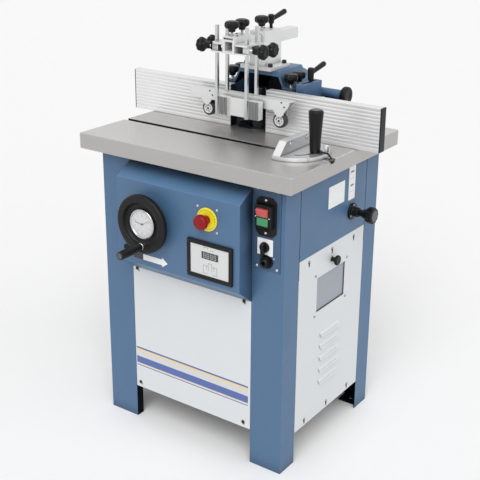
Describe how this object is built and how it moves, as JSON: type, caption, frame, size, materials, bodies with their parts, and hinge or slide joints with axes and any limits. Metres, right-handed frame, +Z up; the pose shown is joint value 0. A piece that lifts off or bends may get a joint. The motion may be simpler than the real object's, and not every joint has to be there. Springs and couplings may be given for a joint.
{
  "type": "spindle moulder",
  "caption": "Floor-standing spindle moulder: cast table on a sheet cabinet, lifting spindle under a dust hood, sliding ribbed fences, hold-down with shoe and rollers, and a mitre gauge.",
  "frame": {"origin": "on the floor, under the middle of the whole object's bounding box", "axes": "+Z up, +X to the operator's right along the fences, +Y away from the operator"},
  "size_m": [0.814, 0.7103, 1.1611],
  "materials": {
    "blue_paint": "satin powder coat",
    "white_paint": "satin powder coat",
    "dark_steel": "satin paint",
    "ground_iron": "ground",
    "ring_steel": "turned",
    "black_plastic": "fine grain",
    "black_steel": "black oxide",
    "plate_paint": "satin powder coat",
    "yellow_plastic": "semi-gloss",
    "red_plastic": "semi-gloss",
    "green_plastic": "semi-gloss",
    "dial_chrome": "polished",
    "bright_steel": "ground",
    "fence_aluminium": "anodised",
    "cast_aluminium": "satin",
    "grey_iron": "machined",
    "motor_paint": "satin paint",
    "belt_rubber": "matte",
    "roller_rubber": "matte tyre on a pale hub",
    "window_sheet": "smooth sheet"
  },
  "bodies": {
    "stand": {"front_left_leg": "blue_paint", "front_right_leg": "blue_paint", "rear_left_leg": "blue_paint", "rear_right_leg": "blue_paint", "cabinet_rails": "dark_steel", "front_panel": "white_paint", "left_panel": "white_paint", "rear_panel": "white_paint", "upper_panels": "blue_paint", "access_panel": "white_paint", "window_pane": "window_sheet", "screws": "black_steel", "plate_rivets": "bright_steel", "control_housing": "blue_paint", "stop_disc": "yellow_plastic", "display_unit": "black_plastic", "switch_plate": "plate_paint", "switch_body": "black_plastic", "selector_plate": "white_paint", "table_top": "ground_iron", "table_ring": "ring_steel", "quill_sleeve": "grey_iron", "hood": "blue_paint", "left_carrier": "blue_paint", "mast_block": "cast_aluminium", "fixed_knobs": "black_plastic", "lock_flange": "black_steel"},
    "carriage": {"quill": "grey_iron", "quill_bearings": "bright_steel", "motor": "motor_paint", "drive_belt": "belt_rubber"},
    "spindle": {"spindle_shaft": "bright_steel", "spindle_collars": "bright_steel"},
    "motor_rotor": {"motor_pulley": "bright_steel"},
    "wheel": {"handwheel": "black_plastic", "wheel_dial": "dial_chrome"},
    "grip": {"crank_grip": "black_plastic"},
    "screw": {"lift_screw": "bright_steel"},
    "stop_mushroom": {"stop_head": "red_plastic"},
    "red_button": {"stop_button": "red_plastic"},
    "green_button": {"start_button": "green_plastic"},
    "selector": {"selector_knob": "black_plastic"},
    "lock_pin": {"lock_knob": "black_plastic"},
    "left_fence": {"left_fence": "fence_aluminium"},
    "right_slide": {"right_carrier": "blue_paint"},
    "right_fence": {"right_fence": "fence_aluminium"},
    "adjuster": {"adjust_knob": "black_plastic"},
    "fence_lever": {"fence_lever": "black_plastic"},
    "mast_lever": {"mast_lever": "black_plastic"},
    "arm": {"arm": "cast_aluminium", "cross_frame": "cast_aluminium", "frame_knobs": "black_plastic"},
    "shoe": {"pressure_shoe": "cast_aluminium"},
    "beam": {"roller_beam": "bright_steel"},
    "left_roller": {"left_roller": "roller_rubber"},
    "right_roller": {"right_roller": "roller_rubber"},
    "gauge_bar": {"gauge_bar": "bright_steel"},
    "gauge_head": {"gauge_head": "cast_aluminium", "gauge_fence": "cast_aluminium"},
    "gauge_handle": {"gauge_handle": "black_plastic"}
  },
  "joints": [
    {"name": "wheel_turn", "type": "hinge", "parent": "stand", "child": "wheel", "pos_m": [-0.085, -0.245, 0.656], "axis": [0, 1, 0], "range_deg": [-6841, 361]},
    {"name": "spindle_lift", "type": "slide", "parent": "stand", "child": "carriage", "axis": [0, 0, 1], "range_m": [-0.095, 0.005]},
    {"name": "lift_screw_turn", "type": "hinge", "parent": "stand", "child": "screw", "pos_m": [-0.085, 0.147, 0.6], "axis": [0, 0, 1], "range_deg": [-361, 6841]},
    {"name": "grip_spin", "type": "hinge", "parent": "wheel", "child": "grip", "pos_m": [-0.085, -0.305, 0.596], "axis": [0, 1, 0], "continuous": true},
    {"name": "motor_spin", "type": "hinge", "parent": "carriage", "child": "motor_rotor", "pos_m": [0.165, 0.045, 0.54], "axis": [0, 0, 1], "continuous": true},
    {"name": "spindle_spin", "type": "hinge", "parent": "carriage", "child": "spindle", "pos_m": [0, 0.147, 0.7], "axis": [0, 0, 1], "continuous": true},
    {"name": "stop_push", "type": "slide", "parent": "stand", "child": "stop_mushroom", "axis": [0, 1, 0], "range_m": [0, 0.004], "stiffness_N_per_m": 800},
    {"name": "red_button_push", "type": "slide", "parent": "stand", "child": "red_button", "axis": [0, 1, 0], "range_m": [0, 0.003], "stiffness_N_per_m": 400},
    {"name": "green_button_push", "type": "slide", "parent": "stand", "child": "green_button", "axis": [0, 1, 0], "range_m": [0, 0.003], "stiffness_N_per_m": 400},
    {"name": "selector_turn", "type": "hinge", "parent": "stand", "child": "selector", "pos_m": [0.242, -0.185, 0.643], "axis": [0, 1, 0], "range_deg": [0, 90]},
    {"name": "lock_pull", "type": "slide", "parent": "stand", "child": "lock_pin", "axis": [1, 0, 0], "range_m": [0, 0.015]},
    {"name": "left_fence_slide", "type": "slide", "parent": "stand", "child": "left_fence", "axis": [1, 0, 0], "range_m": [-0.06, 0.015]},
    {"name": "right_carrier_slide", "type": "slide", "parent": "stand", "child": "right_slide", "axis": [0, 1, 0], "range_m": [-0.01, 0.015]},
    {"name": "adjust_turn", "type": "hinge", "parent": "stand", "child": "adjuster", "pos_m": [0.19, 0.2313, 0.948], "axis": [1, 0, 0], "range_deg": [-361, 541]},
    {"name": "right_fence_slide", "type": "slide", "parent": "right_slide", "child": "right_fence", "axis": [-1, 0, 0], "range_m": [-0.06, 0.015]},
    {"name": "fence_lever_turn", "type": "hinge", "parent": "right_slide", "child": "fence_lever", "pos_m": [0.14314, 0.1773, 1], "axis": [0, 0, 1], "range_deg": [-90, 0]},
    {"name": "mast_lever_turn", "type": "hinge", "parent": "stand", "child": "mast_lever", "pos_m": [0, 0.195, 1.12], "axis": [0, 0, 1], "range_deg": [-60, 60]},
    {"name": "arm_slide", "type": "slide", "parent": "stand", "child": "arm", "axis": [0, -1, 0], "range_m": [0, 0.06]},
    {"name": "shoe_height", "type": "slide", "parent": "arm", "child": "shoe", "axis": [0, 0, 1], "range_m": [-0.028, 0.05]},
    {"name": "roller_height", "type": "slide", "parent": "arm", "child": "beam", "axis": [0, 0, 1], "range_m": [-0.028, 0.05]},
    {"name": "left_roller_spin", "type": "hinge", "parent": "beam", "child": "left_roller", "pos_m": [-0.107, 0.057, 0.8995], "axis": [0, 1, 0], "continuous": true},
    {"name": "right_roller_spin", "type": "hinge", "parent": "beam", "child": "right_roller", "pos_m": [0.127, 0.057, 0.8995], "axis": [0, 1, 0], "continuous": true},
    {"name": "gauge_slide", "type": "slide", "parent": "stand", "child": "gauge_bar", "axis": [1, 0, 0], "range_m": [-0.01, 0.1]},
    {"name": "gauge_swing", "type": "hinge", "parent": "gauge_bar", "child": "gauge_head", "pos_m": [0.23, -0.032, 0.855], "axis": [0, 0, 1], "range_deg": [-45, 45]},
    {"name": "handle_turn", "type": "hinge", "parent": "gauge_bar", "child": "gauge_handle", "pos_m": [0.288, -0.032, 0.9], "axis": [0, 0, 1], "continuous": true}
  ],
  "couplings": [
    {"joint": "wheel_turn", "follows": "spindle_lift", "rad_per_m": 1256.6},
    {"joint": "lift_screw_turn", "follows": "spindle_lift", "rad_per_m": -1256.6},
    {"joint": "spindle_spin", "follows": "motor_spin", "ratio": 1.6667},
    {"joint": "adjust_turn", "follows": "right_carrier_slide", "rad_per_m": 628.32}
  ]
}
